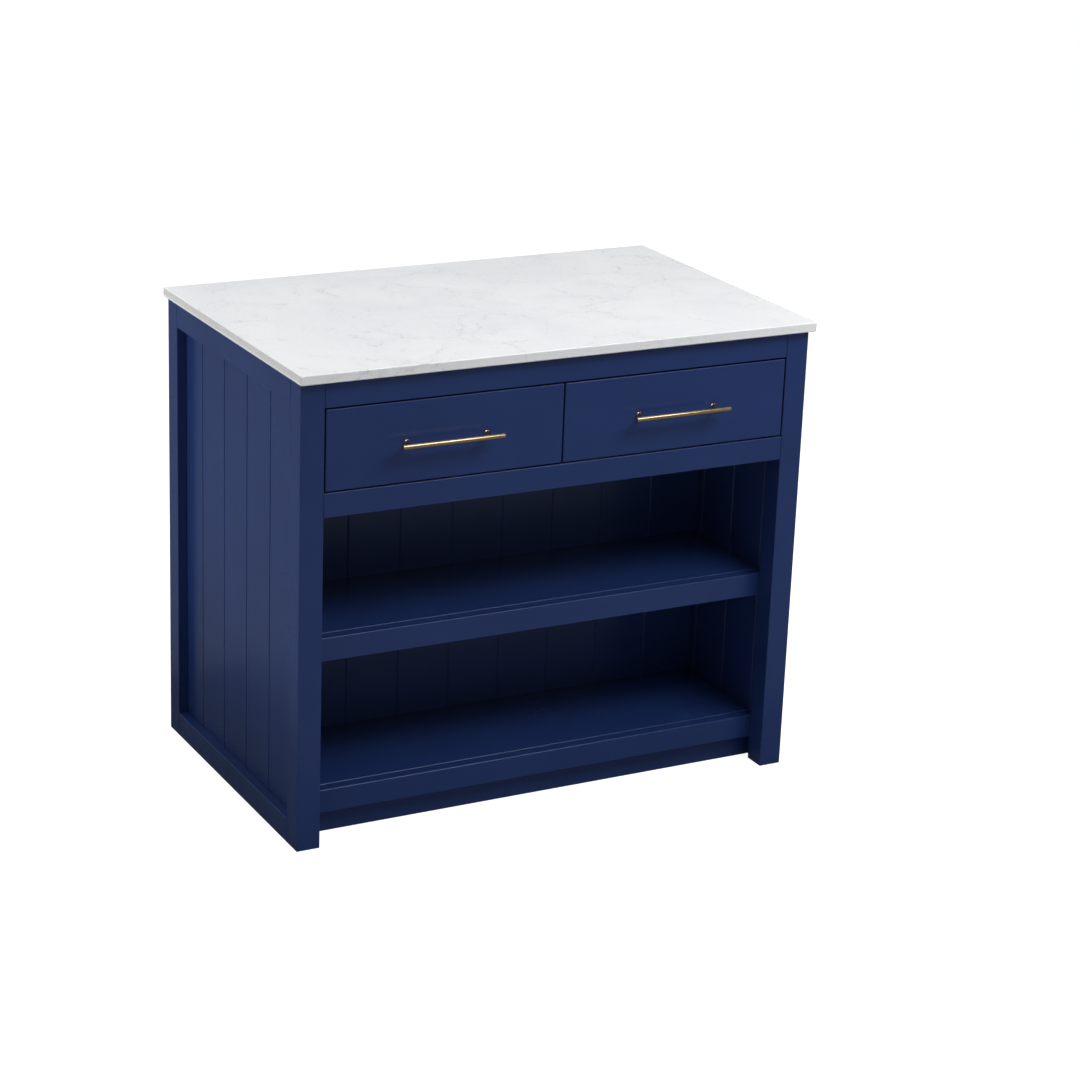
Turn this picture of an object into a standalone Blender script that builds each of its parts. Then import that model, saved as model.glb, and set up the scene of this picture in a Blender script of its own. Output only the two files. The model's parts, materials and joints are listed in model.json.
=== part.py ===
# Kitchen island: a post-and-rail carcass with grooved side panels, a stone worktop, shelves that
# open to both long sides, and two inset drawers on telescopic slides.
# Metres. X runs along the island, -Y is the drawer side, Z is up, and the floor is z = 0.
import math

import bmesh
import bpy
from mathutils import Matrix, Vector

# Overall sizes
BODY_WIDTH = 1.052
BODY_DEPTH = 0.645
BODY_HEIGHT = 0.898              # floor to the underside of the worktop
TOP_THICKNESS = 0.018
TOP_OVERHANG_SIDE = 0.007
TOP_OVERHANG_FRONT = 0.016
TOP_OVERHANG_BACK = 0.008

# Frame
POST_SIZE = 0.0465
TOP_RAIL_HEIGHT = 0.050
FOOT_RAIL_HEIGHT = 0.0485
CROSS_RAIL_DEPTH = 0.030         # front and back rails, front to back
DRAWER_RAIL_HEIGHT = 0.0465
DRAWER_OPENING_HEIGHT = 0.1575

# Grooved panels
PANEL_THICKNESS = 0.016
PANEL_RECESS = 0.019             # from the outer face of the frame to the panel
PANEL_TONGUE = 0.008             # how far a panel runs into posts and rails
GROOVE_PITCH = 0.1113
GROOVE_WIDTH = 0.006
GROOVE_DEPTH = 0.003
SIDE_GROOVE_OFFSET = 0.0682      # front face of the body to the first groove of a side panel

# Shelves
LOWER_SHELF_RAIL_TOP = 0.0930
UPPER_SHELF_RAIL_TOP = 0.3955
SHELF_RAIL_HEIGHT = 0.046
SHELF_RAIL_THICKNESS = 0.019
SHELF_THICKNESS = 0.016
SHELF_PROUD = 0.003              # shelf surface above the top of its rails
TOE_KICK_THICKNESS = 0.016

# Drawers
DRAWER_REVEAL = 0.003            # gap around each drawer front
DRAWER_FRONT_THICKNESS = 0.019
DIVIDER_THICKNESS = 0.018
BOX_BACK_SPACE = 0.0907          # back of the boxes to the panel on the far side
BOX_LIFT = 0.012                 # bottom of the drawer opening to the bottom of the box
BOX_DROP = 0.0195                # top of the drawer opening to the top of the box
BOX_WALL = 0.012
BOTTOM_THICKNESS = 0.006
BOTTOM_LIFT = 0.010              # bottom edge of the box to its bottom board
BOTTOM_TONGUE = 0.006

# Telescopic slides
SLIDE_THICKNESS = 0.0127
SLIDE_HEIGHT = 0.045
SLIDE_STEEL = 0.0012
SLIDE_BALL_GAP = 0.0035          # between the flanges of nested members
SLIDE_SETBACK = 0.002            # back of the drawer fronts to the slides
CLEAT_HEIGHT = 0.060

# Bar handles and their screws
BAR_LENGTH = 0.203
BAR_RADIUS = 0.005
HANDLE_HOLE_SPACING = 0.160
HANDLE_STANDOFF = 0.030          # drawer face to the middle of the bar
FOOT_RADIUS = 0.0042
SCREW_RADIUS = 0.002
SCREW_ENGAGEMENT = 0.010         # length of screw inside the handle's foot
SCREW_HEAD_RADIUS = 0.004
SCREW_HEAD_HEIGHT = 0.0024

# Fits
GAP = 0.0003                     # between pieces that touch
HOLE_CLEARANCE = 0.0006          # radius of a screw hole in wood over the screw
DIVIDER_GAP = 0.003              # back of the drawer fronts to the divider
WOOD_CHAMFER = 0.001
TOP_CHAMFER = 0.0015
BAR_CHAMFER = 0.0006
OVERCUT = 0.010                  # how far a cutter stands out of what it cuts
ROUND_STEPS = 24

# The origin is on the floor under the middle of the whole object, handles included.
HANDLE_REACH = HANDLE_STANDOFF + BAR_RADIUS
FRONT_Y = (max(HANDLE_REACH, TOP_OVERHANG_FRONT) - BODY_DEPTH - TOP_OVERHANG_BACK) / 2
BACK_Y = FRONT_Y + BODY_DEPTH
HALF_WIDTH = BODY_WIDTH / 2
POST_INNER_X = HALF_WIDTH - POST_SIZE
PANEL_INNER_X = HALF_WIDTH - PANEL_RECESS - PANEL_THICKNESS
OPENING_TOP = BODY_HEIGHT - TOP_RAIL_HEIGHT
OPENING_BOTTOM = OPENING_TOP - DRAWER_OPENING_HEIGHT
SHELF_RAIL_NEAR = POST_SIZE + GAP
SHELF_RAIL_FAR = SHELF_RAIL_NEAR + SHELF_RAIL_THICKNESS
BOX_BOTTOM = OPENING_BOTTOM + BOX_LIFT
BOX_TOP = OPENING_TOP - BOX_DROP
BOX_FRONT_Y = FRONT_Y + DRAWER_FRONT_THICKNESS + GAP
BOX_BACK_Y = BACK_Y - PANEL_RECESS - PANEL_THICKNESS - BOX_BACK_SPACE
SLIDE_FRONT_Y = FRONT_Y + DRAWER_FRONT_THICKNESS + SLIDE_SETBACK
SLIDE_LENGTH = BOX_BACK_Y - SLIDE_FRONT_Y
SLIDE_Z = (BOX_BOTTOM + BOX_TOP) / 2
HANDLE_Z = (OPENING_BOTTOM + OPENING_TOP) / 2

for old in list(bpy.data.objects):
    bpy.data.objects.remove(old)
model = bpy.data.collections.new("kitchen_island")
cutters = bpy.data.collections.new("cutters")
bpy.context.scene.collection.children.link(model)
bpy.context.scene.collection.children.link(cutters)


# Finishes: base colour, roughness and metallic value
FINISHES = {
    "navy_paint": ((0.020, 0.030, 0.095, 1), 0.40, 0.0),
    "white_quartz": ((0.80, 0.80, 0.79, 1), 0.22, 0.0),
    "brushed_brass": ((0.78, 0.58, 0.33, 1), 0.30, 1.0),
    "drawer_birch": ((0.72, 0.57, 0.38, 1), 0.55, 0.0),
    "zinc_steel": ((0.62, 0.63, 0.65, 1), 0.35, 1.0),
}


def own_material(name, finish):
    colour, roughness, metallic = FINISHES[finish]
    material = bpy.data.materials.new(name + "_" + finish)
    material.use_nodes = True
    shader = material.node_tree.nodes["Principled BSDF"]
    shader.inputs["Base Color"].default_value = colour
    shader.inputs["Roughness"].default_value = roughness
    shader.inputs["Metallic"].default_value = metallic
    return material


def add_piece(name, data, finish, place, parent=None):
    """Put a named piece in the model at a world place, under its parent empty if it has one."""
    piece = bpy.data.objects.new(name, data)
    data.materials.append(own_material(name, finish))
    model.objects.link(piece)
    piece.location = place
    if parent is not None:
        piece.parent = parent
        piece.location = Vector(place) - parent.location
    return piece


def add_cutter(name, data, place):
    cutter = bpy.data.objects.new(name, data)
    cutters.objects.link(cutter)
    cutter.location = place
    cutter.hide_render = True
    cutter.display_type = "WIRE"
    return cutter


def box_mesh(name, size):
    mesh = bpy.data.meshes.new(name)
    shape = bmesh.new()
    bmesh.ops.create_cube(shape, size=1.0)
    bmesh.ops.scale(shape, vec=size, verts=shape.verts)
    shape.to_mesh(mesh)
    shape.free()
    return mesh


def rod_mesh(name, radius, length, axis):
    """A cylinder centred on its origin, lying along world X or Y."""
    mesh = bpy.data.meshes.new(name)
    shape = bmesh.new()
    bmesh.ops.create_cone(shape, cap_ends=True, segments=ROUND_STEPS,
                          radius1=radius, radius2=radius, depth=length)
    turn = Matrix.Rotation(math.pi / 2, 3, "Y" if axis == "X" else "X")
    bmesh.ops.rotate(shape, matrix=turn, verts=shape.verts)
    shape.to_mesh(mesh)
    shape.free()
    return mesh


def chamfer(piece, width):
    bevel = piece.modifiers.new("eased_edges", "BEVEL")
    bevel.width = width
    bevel.segments = 1
    bevel.limit_method = "ANGLE"
    bevel.angle_limit = math.radians(60)


def boolean(piece, tool, operation="DIFFERENCE"):
    cut = piece.modifiers.new(tool.name, "BOOLEAN")
    cut.operation = operation
    cut.solver = "EXACT"
    cut.object = tool


def middle_and_size(low, high):
    low, high = Vector(low), Vector(high)
    return (low + high) / 2, high - low


def board(name, low, high, finish="navy_paint", edge=WOOD_CHAMFER, parent=None):
    """A rectangular board between two world corners, with eased edges."""
    middle, size = middle_and_size(low, high)
    piece = add_piece(name, box_mesh(name, size), finish, middle, parent)
    if edge:
        chamfer(piece, edge)
    return piece


def trench(piece, low, high):
    """Cut a box-shaped groove or rabbet between two world corners."""
    middle, size = middle_and_size(low, high)
    name = piece.name + "_trench"
    boolean(piece, add_cutter(name, box_mesh(name, size), middle))


def drill(piece, x, y_low, y_high, z, radius):
    name = piece.name + "_hole"
    middle = (x, (y_low + y_high) / 2, z)
    boolean(piece, add_cutter(name, rod_mesh(name, radius, y_high - y_low, "Y"), middle))


def from_face(face, near, far):
    """Y range of what lies between two depths behind the front or the back of the body."""
    if face == "front":
        return FRONT_Y + near, FRONT_Y + far
    return BACK_Y - far, BACK_Y - near


def from_side(side, near, far):
    """X range of what lies between two depths inside the left (-1) or right (+1) side."""
    return tuple(sorted((side * (HALF_WIDTH - near), side * (HALF_WIDTH - far))))


def outline_piece(name, points, length, finish, place, turn, parent=None):
    """A closed flat outline, extruded to a length about its own plane and then turned."""
    curve = bpy.data.curves.new(name, "CURVE")
    curve.dimensions = "2D"
    curve.fill_mode = "BOTH"
    curve.extrude = length / 2
    spline = curve.splines.new("POLY")
    spline.points.add(len(points) - 1)
    for point, (x, y) in zip(spline.points, points):
        point.co = (x, y, 0, 1)
    spline.use_cyclic_u = True
    piece = add_piece(name, curve, finish, place, parent)
    piece.rotation_euler = turn
    return piece


def groove_places(low, high, start, step):
    """Groove centres from a start at a regular pitch, clear of the panel's two edges."""
    places = []
    place = start
    while low + GROOVE_WIDTH < place < high - GROOVE_WIDTH:
        places.append(place)
        place += step
    return sorted(places)


def grooved_outline(low, high, grooves):
    """Section of a panel with V grooves on both faces, along X and about y = 0."""
    half = PANEL_THICKNESS / 2
    front = [(low, -half)]
    for place in grooves:
        front.append((place - GROOVE_WIDTH / 2, -half))
        front.append((place, -half + GROOVE_DEPTH))
        front.append((place + GROOVE_WIDTH / 2, -half))
    front.append((high, -half))
    back = [(x, -y) for x, y in reversed(front)]
    return front + back


def build_worktop():
    board("countertop",
          (-HALF_WIDTH - TOP_OVERHANG_SIDE, FRONT_Y - TOP_OVERHANG_FRONT, BODY_HEIGHT),
          (HALF_WIDTH + TOP_OVERHANG_SIDE, BACK_Y + TOP_OVERHANG_BACK, BODY_HEIGHT + TOP_THICKNESS),
          "white_quartz", TOP_CHAMFER)


def build_posts():
    for side, side_name in ((-1, "left"), (1, "right")):
        x_low, x_high = from_side(side, 0, POST_SIZE)
        slot_low, slot_high = from_side(side, PANEL_RECESS - GAP, PANEL_RECESS + PANEL_THICKNESS + GAP)
        for face in ("front", "back"):
            y_low, y_high = from_face(face, 0, POST_SIZE)
            post = board(f"{face}_{side_name}_post", (x_low, y_low, 0),
                         (x_high, y_high, BODY_HEIGHT - GAP))
            y_low, y_high = from_face(face, POST_SIZE - PANEL_TONGUE, POST_SIZE + OVERCUT)
            trench(post, (slot_low, y_low, -OVERCUT), (slot_high, y_high, BODY_HEIGHT + OVERCUT))


def build_sides():
    rail_y = (FRONT_Y + POST_SIZE + GAP, BACK_Y - POST_SIZE - GAP)
    rabbet_y = (rail_y[0] - OVERCUT, rail_y[1] + OVERCUT)
    panel_y = (FRONT_Y + POST_SIZE - PANEL_TONGUE + GAP, BACK_Y - POST_SIZE + PANEL_TONGUE - GAP)
    panel_z = (FOOT_RAIL_HEIGHT - PANEL_TONGUE + GAP, OPENING_TOP + PANEL_TONGUE - GAP)
    grooves = groove_places(*panel_y, FRONT_Y + SIDE_GROOVE_OFFSET, GROOVE_PITCH)
    for side, name in ((-1, "left"), (1, "right")):
        x_low, x_high = from_side(side, 0, PANEL_RECESS + PANEL_THICKNESS)
        cut_low, cut_high = from_side(side, PANEL_RECESS - GAP, PANEL_RECESS + PANEL_THICKNESS + OVERCUT)
        top_rail = board(f"{name}_top_rail", (x_low, rail_y[0], OPENING_TOP),
                         (x_high, rail_y[1], BODY_HEIGHT - GAP))
        trench(top_rail, (cut_low, rabbet_y[0], OPENING_TOP - OVERCUT),
               (cut_high, rabbet_y[1], OPENING_TOP + PANEL_TONGUE))
        foot_rail = board(f"{name}_foot_rail", (x_low, rail_y[0], 0),
                          (x_high, rail_y[1], FOOT_RAIL_HEIGHT))
        trench(foot_rail, (cut_low, rabbet_y[0], FOOT_RAIL_HEIGHT - PANEL_TONGUE),
               (cut_high, rabbet_y[1], FOOT_RAIL_HEIGHT + OVERCUT))
        panel_x = side * (HALF_WIDTH - PANEL_RECESS - PANEL_THICKNESS / 2)
        outline_piece(f"{name}_side_panel", grooved_outline(*panel_y, grooves),
                      panel_z[1] - panel_z[0], "navy_paint",
                      (panel_x, 0, sum(panel_z) / 2), (0, 0, math.pi / 2))


def build_cross_rails():
    x_end = POST_INNER_X - GAP
    for face in ("front", "back"):
        y_low, y_high = from_face(face, 0, CROSS_RAIL_DEPTH)
        board(f"{face}_top_rail", (-x_end, y_low, OPENING_TOP), (x_end, y_high, BODY_HEIGHT - GAP))
        board(f"{face}_drawer_rail", (-x_end, y_low, OPENING_BOTTOM - DRAWER_RAIL_HEIGHT),
              (x_end, y_high, OPENING_BOTTOM))


def build_back_apron():
    """The fixed grooved panel that closes the drawer space on the far side."""
    x_end = POST_INNER_X - GAP
    low_z, high_z = OPENING_BOTTOM + GAP, OPENING_TOP - GAP
    grooves = groove_places(-x_end, x_end, PANEL_INNER_X - GROOVE_PITCH, -GROOVE_PITCH)
    outline_piece("back_apron", grooved_outline(-x_end, x_end, grooves), high_z - low_z, "navy_paint",
                  (0, BACK_Y - PANEL_RECESS - PANEL_THICKNESS / 2, (low_z + high_z) / 2), (0, 0, 0))


def build_shelves():
    x_end = PANEL_INNER_X - GAP
    shelf_y = (FRONT_Y + SHELF_RAIL_FAR + GAP, BACK_Y - SHELF_RAIL_FAR - GAP)
    for level, rail_top in (("lower", LOWER_SHELF_RAIL_TOP), ("upper", UPPER_SHELF_RAIL_TOP)):
        for face in ("front", "back"):
            y_low, y_high = from_face(face, SHELF_RAIL_NEAR, SHELF_RAIL_FAR)
            board(f"{level}_shelf_{face}_rail", (-x_end, y_low, rail_top - SHELF_RAIL_HEIGHT),
                  (x_end, y_high, rail_top))
        surface = rail_top + SHELF_PROUD
        board(f"{level}_shelf", (-x_end, shelf_y[0], surface - SHELF_THICKNESS),
              (x_end, shelf_y[1], surface))


def build_toe_kicks():
    x_end = PANEL_INNER_X - GAP
    top = LOWER_SHELF_RAIL_TOP + SHELF_PROUD - SHELF_THICKNESS - GAP
    near = SHELF_RAIL_FAR + GAP
    for face in ("front", "back"):
        y_low, y_high = from_face(face, near, near + TOE_KICK_THICKNESS)
        board(f"{face}_toe_kick", (-x_end, y_low, 0), (x_end, y_high, top))


def build_centre_panels():
    """Grooved panels half way back, which close the shelves of both sides."""
    x_end = PANEL_INNER_X - GAP
    grooves = groove_places(-x_end, x_end, PANEL_INNER_X - GROOVE_PITCH, -GROOVE_PITCH)
    lower_z = (LOWER_SHELF_RAIL_TOP + SHELF_PROUD + GAP,
               UPPER_SHELF_RAIL_TOP + SHELF_PROUD - SHELF_THICKNESS - GAP)
    upper_z = (UPPER_SHELF_RAIL_TOP + SHELF_PROUD + GAP, OPENING_BOTTOM)
    for name, (low_z, high_z) in (("lower", lower_z), ("upper", upper_z)):
        outline_piece(f"{name}_centre_panel", grooved_outline(-x_end, x_end, grooves),
                      high_z - low_z, "navy_paint",
                      (0, (FRONT_Y + BACK_Y) / 2, (low_z + high_z) / 2), (0, 0, 0))


def build_drawer_supports():
    board("drawer_divider",
          (-DIVIDER_THICKNESS / 2, FRONT_Y + DRAWER_FRONT_THICKNESS + DIVIDER_GAP, OPENING_BOTTOM + GAP),
          (DIVIDER_THICKNESS / 2, BACK_Y - PANEL_RECESS - PANEL_THICKNESS - GAP, OPENING_TOP - GAP))
    for side, name in ((-1, "left"), (1, "right")):
        x_low, x_high = from_side(side, PANEL_RECESS + PANEL_THICKNESS + GAP, POST_SIZE)
        board(f"{name}_slide_cleat",
              (x_low, FRONT_Y + POST_SIZE + GAP, SLIDE_Z - CLEAT_HEIGHT / 2),
              (x_high, BACK_Y - POST_SIZE - GAP, SLIDE_Z + CLEAT_HEIGHT / 2),
              "drawer_birch", 0)


def channel_outline(web_x, tip_x, height):
    """Section of a C channel: the web's outer face at web_x, the flange tips at tip_x."""
    inward = SLIDE_STEEL if tip_x > web_x else -SLIDE_STEEL
    half = height / 2
    points = [(web_x, -half), (tip_x, -half), (tip_x, -half + SLIDE_STEEL),
              (web_x + inward, -half + SLIDE_STEEL), (web_x + inward, half - SLIDE_STEEL),
              (tip_x, half - SLIDE_STEEL), (tip_x, half), (web_x, half)]
    return points


def build_slide(name, fixed_x, toward, parent):
    """Three nested channels, from the fixed face at fixed_x towards the drawer box."""
    start = fixed_x + toward * GAP
    end = start + toward * SLIDE_THICKNESS
    step = SLIDE_STEEL + SLIDE_BALL_GAP
    fixed_tip = start + toward * (SLIDE_THICKNESS - 3 * SLIDE_STEEL)
    middle_web = start + toward * 2 * SLIDE_STEEL
    middle_tip = end - toward * 2 * SLIDE_STEEL
    moving_tip = start + toward * 4 * SLIDE_STEEL
    members = (("fixed", start, fixed_tip, SLIDE_HEIGHT),
               ("middle", middle_web, middle_tip, SLIDE_HEIGHT - 2 * step),
               ("moving", end, moving_tip, SLIDE_HEIGHT - 4 * step))
    y_middle = SLIDE_FRONT_Y + SLIDE_LENGTH / 2
    for member, web_x, tip_x, height in members:
        owner = parent if member == "moving" else None
        outline_piece(f"{name}_slide_{member}", channel_outline(web_x - start, tip_x - start, height),
                      SLIDE_LENGTH, "zinc_steel", (start, y_middle, SLIDE_Z), (math.pi / 2, 0, 0), owner)


def build_handle(name, middle_x, hole_xs, parent):
    bar_y = FRONT_Y - HANDLE_STANDOFF
    handle = add_piece(name, rod_mesh(name, BAR_RADIUS, BAR_LENGTH, "X"), "brushed_brass",
                       (middle_x, bar_y, HANDLE_Z), parent)
    chamfer(handle, BAR_CHAMFER)
    foot_length = HANDLE_STANDOFF - GAP
    bore_end = FRONT_Y - GAP - SCREW_ENGAGEMENT - GAP
    for hole_x in hole_xs:
        foot_name = name + "_foot"
        foot = add_cutter(foot_name, rod_mesh(foot_name, FOOT_RADIUS, foot_length, "Y"),
                          (hole_x, bar_y + foot_length / 2, HANDLE_Z))
        boolean(handle, foot, "UNION")
    for hole_x in hole_xs:
        drill(handle, hole_x, bore_end, FRONT_Y + OVERCUT, HANDLE_Z, SCREW_RADIUS + GAP)
    handle.data.shade_smooth()
    handle.data.set_sharp_from_angle(angle=math.radians(35))


def build_screw(name, x, head_y, parent):
    """A pan-head screw whose head bears on the inside of the drawer box."""
    reach = head_y - FRONT_Y + SCREW_ENGAGEMENT
    point = SCREW_RADIUS / 2
    profile = [(0, SCREW_HEAD_HEIGHT), (SCREW_HEAD_RADIUS * 0.6, SCREW_HEAD_HEIGHT),
               (SCREW_HEAD_RADIUS, SCREW_HEAD_HEIGHT * 0.4), (SCREW_HEAD_RADIUS, 0),
               (SCREW_RADIUS, 0), (SCREW_RADIUS, point - reach), (SCREW_RADIUS - point, -reach),
               (0, -reach)]
    mesh = bpy.data.meshes.new(name)
    shape = bmesh.new()
    corners = [shape.verts.new((radius, 0, height)) for radius, height in profile]
    for upper, lower in zip(corners, corners[1:]):
        shape.edges.new((upper, lower))
    shape.to_mesh(mesh)
    shape.free()
    screw = add_piece(name, mesh, "zinc_steel", (x, head_y, HANDLE_Z), parent)
    screw.rotation_euler = (-math.pi / 2, 0, 0)
    turned = screw.modifiers.new("turned", "SCREW")
    turned.steps = turned.render_steps = ROUND_STEPS // 2
    turned.use_merge_vertices = True
    turned.merge_threshold = 0.00001


def build_drawer(side, name):
    inner_edge = side * DRAWER_REVEAL / 2
    outer_edge = side * (POST_INNER_X - DRAWER_REVEAL)
    middle_x = (inner_edge + outer_edge) / 2
    travel = bpy.data.objects.new(f"{name}_drawer_travel", None)
    model.objects.link(travel)
    travel.location = (middle_x, FRONT_Y, SLIDE_Z)

    wall_far = BOX_FRONT_Y + BOX_WALL
    hole_xs = [middle_x - HANDLE_HOLE_SPACING / 2, middle_x + HANDLE_HOLE_SPACING / 2]
    hole_radius = SCREW_RADIUS + HOLE_CLEARANCE

    front = board(f"{name}_drawer_front",
                  (min(inner_edge, outer_edge), FRONT_Y, OPENING_BOTTOM + DRAWER_REVEAL),
                  (max(inner_edge, outer_edge), FRONT_Y + DRAWER_FRONT_THICKNESS,
                   OPENING_TOP - DRAWER_REVEAL), parent=travel)

    divider_x = side * DIVIDER_THICKNESS / 2
    post_x = side * POST_INNER_X
    slide_space = SLIDE_THICKNESS + 2 * GAP
    box_inner = divider_x + side * slide_space
    box_outer = post_x - side * slide_space
    slot_low = BOX_BOTTOM + BOTTOM_LIFT
    slot_high = slot_low + BOTTOM_THICKNESS + 2 * GAP

    for wall, face_x, toward in (("inner", box_inner, side), ("outer", box_outer, -side)):
        far_x = face_x + toward * BOX_WALL
        cheek = board(f"{name}_drawer_{wall}_side", (min(face_x, far_x), BOX_FRONT_Y, BOX_BOTTOM),
                      (max(face_x, far_x), BOX_BACK_Y, BOX_TOP), "drawer_birch", 0, travel)
        slot_x = (far_x - toward * BOTTOM_TONGUE, far_x + toward * OVERCUT)
        trench(cheek, (min(slot_x), BOX_FRONT_Y - OVERCUT, slot_low),
               (max(slot_x), BOX_BACK_Y + OVERCUT, slot_high))

    wall_x = sorted((box_inner + side * (BOX_WALL + GAP), box_outer - side * (BOX_WALL + GAP)))
    box_front = board(f"{name}_drawer_box_front", (wall_x[0], BOX_FRONT_Y, BOX_BOTTOM),
                      (wall_x[1], wall_far, BOX_TOP), "drawer_birch", 0, travel)
    trench(box_front, (wall_x[0] - OVERCUT, wall_far - BOTTOM_TONGUE, slot_low),
           (wall_x[1] + OVERCUT, wall_far + OVERCUT, slot_high))
    board(f"{name}_drawer_box_back", (wall_x[0], BOX_BACK_Y - BOX_WALL, slot_high),
          (wall_x[1], BOX_BACK_Y, BOX_TOP), "drawer_birch", 0, travel)
    bottom_x = (wall_x[0] - BOTTOM_TONGUE + 2 * GAP, wall_x[1] + BOTTOM_TONGUE - 2 * GAP)
    board(f"{name}_drawer_bottom", (bottom_x[0], wall_far - BOTTOM_TONGUE + GAP, slot_low + GAP),
          (bottom_x[1], BOX_BACK_Y, slot_high - GAP), "drawer_birch", 0, travel)

    for piece in (front, box_front):
        for hole_x in hole_xs:
            drill(piece, hole_x, FRONT_Y - OVERCUT, wall_far + OVERCUT, HANDLE_Z, hole_radius)
    build_handle(f"{name}_handle", middle_x, hole_xs, travel)
    for hand, hole_x in zip(("left", "right"), hole_xs):
        build_screw(f"{name}_handle_{hand}_screw", hole_x, wall_far + GAP, travel)

    build_slide(f"{name}_drawer_inner", divider_x, side, travel)
    build_slide(f"{name}_drawer_outer", post_x, -side, travel)


build_worktop()
build_posts()
build_sides()
build_cross_rails()
build_back_apron()
build_shelves()
build_toe_kicks()
build_centre_panels()
build_drawer_supports()
for drawer_side, drawer_name in ((-1, "left"), (1, "right")):
    build_drawer(drawer_side, drawer_name)
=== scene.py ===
import json
import math

import bmesh
import bpy
from mathutils import Matrix, Vector


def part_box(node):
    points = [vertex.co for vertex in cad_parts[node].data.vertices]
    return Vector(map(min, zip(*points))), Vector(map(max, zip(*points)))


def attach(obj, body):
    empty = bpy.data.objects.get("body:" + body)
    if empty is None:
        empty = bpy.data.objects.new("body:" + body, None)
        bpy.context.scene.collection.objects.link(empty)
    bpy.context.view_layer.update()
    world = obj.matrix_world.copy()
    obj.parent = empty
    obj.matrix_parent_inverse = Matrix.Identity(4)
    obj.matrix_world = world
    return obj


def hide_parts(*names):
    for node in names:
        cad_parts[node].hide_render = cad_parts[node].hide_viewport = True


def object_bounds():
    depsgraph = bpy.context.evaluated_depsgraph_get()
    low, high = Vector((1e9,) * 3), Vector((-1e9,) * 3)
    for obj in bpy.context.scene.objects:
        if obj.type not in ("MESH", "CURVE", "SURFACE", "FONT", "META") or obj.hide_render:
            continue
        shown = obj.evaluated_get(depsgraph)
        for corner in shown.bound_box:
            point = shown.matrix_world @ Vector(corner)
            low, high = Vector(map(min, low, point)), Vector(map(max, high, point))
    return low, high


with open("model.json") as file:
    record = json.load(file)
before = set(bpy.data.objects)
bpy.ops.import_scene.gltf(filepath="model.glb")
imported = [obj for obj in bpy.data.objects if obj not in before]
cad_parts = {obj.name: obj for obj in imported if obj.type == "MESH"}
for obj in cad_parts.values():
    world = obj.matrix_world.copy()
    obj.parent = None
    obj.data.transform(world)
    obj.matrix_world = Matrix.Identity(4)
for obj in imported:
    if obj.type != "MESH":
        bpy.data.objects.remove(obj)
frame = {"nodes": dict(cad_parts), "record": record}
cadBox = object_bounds()
scene = bpy.context.scene
bodyOf = {}
for bodyName, members in frame["record"]["behaviour"]["bodies"].items():
    for member in members:
        bodyOf[member] = bodyName
print("kitchen island: frame of", len(frame["nodes"]), "parts loaded")


def addNode(tree, kind, inputs=None, **settings):
    # one node, with its settings, then its inputs as links or plain values
    made = tree.nodes.new(kind)
    made.location = (180 * (len(tree.nodes) % 12), -260 * (len(tree.nodes) // 12))
    for key, value in settings.items():
        setattr(made, key, value)
    for key, value in (inputs or {}).items():
        if isinstance(value, bpy.types.NodeSocket):
            tree.links.new(value, made.inputs[key])
        else:
            made.inputs[key].default_value = value
    return made


def calc(tree, operation, first, second=0.0, third=0.0):
    return addNode(tree, "ShaderNodeMath", {0: first, 1: second, 2: third}, operation=operation).outputs[0]


def mixColour(tree, mask, first, second):
    node = addNode(tree, "ShaderNodeMix", {0: mask, 6: first, 7: second}, data_type="RGBA")
    return node.outputs[2]


def remap(tree, value, low, high, newLow=0.0, newHigh=1.0):
    sizes = {"Value": value, "From Min": low, "From Max": high, "To Min": newLow, "To Max": newHigh}
    return addNode(tree, "ShaderNodeMapRange", sizes).outputs[0]


def noiseOf(tree, vector, scale, detail=2.0, rough=0.5, distortion=0.0):
    values = {"Vector": vector, "Scale": scale, "Detail": detail, "Roughness": rough,
              "Distortion": distortion}
    return addNode(tree, "ShaderNodeTexNoise", values)


def stretched(tree, vector, scale):
    return addNode(tree, "ShaderNodeMapping", {"Vector": vector, "Scale": scale}).outputs[0]


def newGroup(name, kind, inputs, outputs):
    group = bpy.data.node_groups.new(name, kind)
    for label, socketKind, value in inputs:
        socket = group.interface.new_socket(name=label, in_out="INPUT", socket_type=socketKind)
        if value is not None:
            socket.default_value = value
    for label, socketKind in outputs:
        group.interface.new_socket(name=label, in_out="OUTPUT", socket_type=socketKind)
    start = group.nodes.new("NodeGroupInput")
    end = group.nodes.new("NodeGroupOutput")
    return group, start.outputs, end.inputs


def useGroup(tree, group, inputs):
    return addNode(tree, "ShaderNodeGroup", inputs, node_tree=group).outputs


floatSocket = "NodeSocketFloat"
vectorSocket = "NodeSocketVector"
geometrySocket = "NodeSocketGeometry"
materialSocket = "NodeSocketMaterial"
intSocket = "NodeSocketInt"


def makeHandMarks():
    # faint uneven gloss from wiping and handling
    group, given, made = newGroup(
        "handMarks", "ShaderNodeTree",
        [("Vector", vectorSocket, None), ("Scale", floatSocket, 9.0), ("Strength", floatSocket, 0.05)],
        [("Roughness Change", floatSocket), ("Mask", floatSocket)])
    broad = noiseOf(group, given["Vector"], given["Scale"], 3.0, 0.55, 0.6).outputs["Fac"]
    fineScale = calc(group, "MULTIPLY", given["Scale"], 11.0)
    fine = noiseOf(group, given["Vector"], fineScale, 2.0).outputs["Fac"]
    both = calc(group, "MULTIPLY_ADD", fine, 0.35, calc(group, "MULTIPLY", broad, 0.65))
    centred = calc(group, "SUBTRACT", both, 0.5)
    group.links.new(calc(group, "MULTIPLY", centred, given["Strength"]), made["Roughness Change"])
    group.links.new(remap(group, both, 0.38, 0.62), made["Mask"])
    return group


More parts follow.
